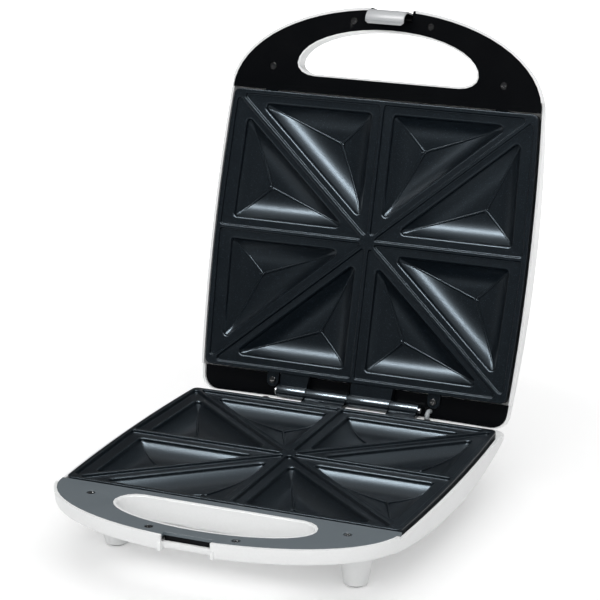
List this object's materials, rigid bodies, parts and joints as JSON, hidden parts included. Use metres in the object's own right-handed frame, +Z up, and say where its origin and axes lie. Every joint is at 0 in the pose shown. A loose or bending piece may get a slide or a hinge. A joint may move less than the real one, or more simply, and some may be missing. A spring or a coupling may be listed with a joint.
{
  "type": "sandwich toaster",
  "caption": "Hinged sandwich toaster with a lid held open, triangular moulded pockets in both plates, a handle with a finger opening on each half and a clip latch.",
  "frame": {"origin": "on the worktop under the middle of the open toaster's box", "axes": "+X right, +Y from the handle to the hinge, +Z up"},
  "size_m": [0.2652, 0.3979, 0.3491],
  "materials": {
    "white_plastic": "satin, finely moulded",
    "rubber": "matte",
    "grey_plastic": "fine matte grain",
    "black_plastic": "semi-gloss",
    "coated_casting": "non-stick coating with a fine speckle, semi-gloss",
    "steel": "plain",
    "ceramic": "matte",
    "lens_clear": "clear",
    "black_screws": "black oxide",
    "sleeve": "woven glass sleeve, matte",
    "red_lens": "clear red",
    "green_lens": "clear green",
    "silver_plastic": "silver-grey satin"
  },
  "bodies": {
    "base": {"base_shell": "white_plastic", "foot_pads": "rubber", "base_handle_cover": "grey_plastic", "base_plate": "coated_casting", "base_heater": "steel", "base_reflector": "steel", "base_reflector_screws": "steel", "base_thermostat": "ceramic", "thermal_fuse": "ceramic", "terminal_block": "ceramic", "cord_bush": "rubber", "base_cover_screws": "black_screws", "base_rear_screws": "black_screws", "hinge_pin": "steel", "base_lead_sleeve": "sleeve", "keeper_strip": "black_plastic"},
    "lid": {"lid_shell": "white_plastic", "lid_handle_cover": "black_plastic", "lid_rear_cover": "black_plastic", "lid_plate": "coated_casting", "lid_heater": "steel", "lid_reflector": "steel", "lid_reflector_screws": "steel", "lid_thermostat": "ceramic", "lid_cover_screws": "black_screws", "lid_rear_screws": "black_screws", "lid_lead_sleeve": "sleeve", "power_lens": "red_lens", "ready_lens": "green_lens", "lamp_holder": "ceramic", "indicator_lamps": "lens_clear", "latch_pin": "steel"},
    "latch": {"latch": "silver_plastic"}
  },
  "joints": [
    {"name": "lid_hinge", "type": "hinge", "parent": "base", "child": "lid", "pos_m": [0, 0.1075, 0.0503], "axis": [1, 0, 0], "range_deg": [0, 104.8]},
    {"name": "latch_pivot", "type": "hinge", "parent": "lid", "child": "latch", "pos_m": [0, 0.19284, 0.33805], "axis": [-1, 0, 0], "range_deg": [0, 70]}
  ]
}
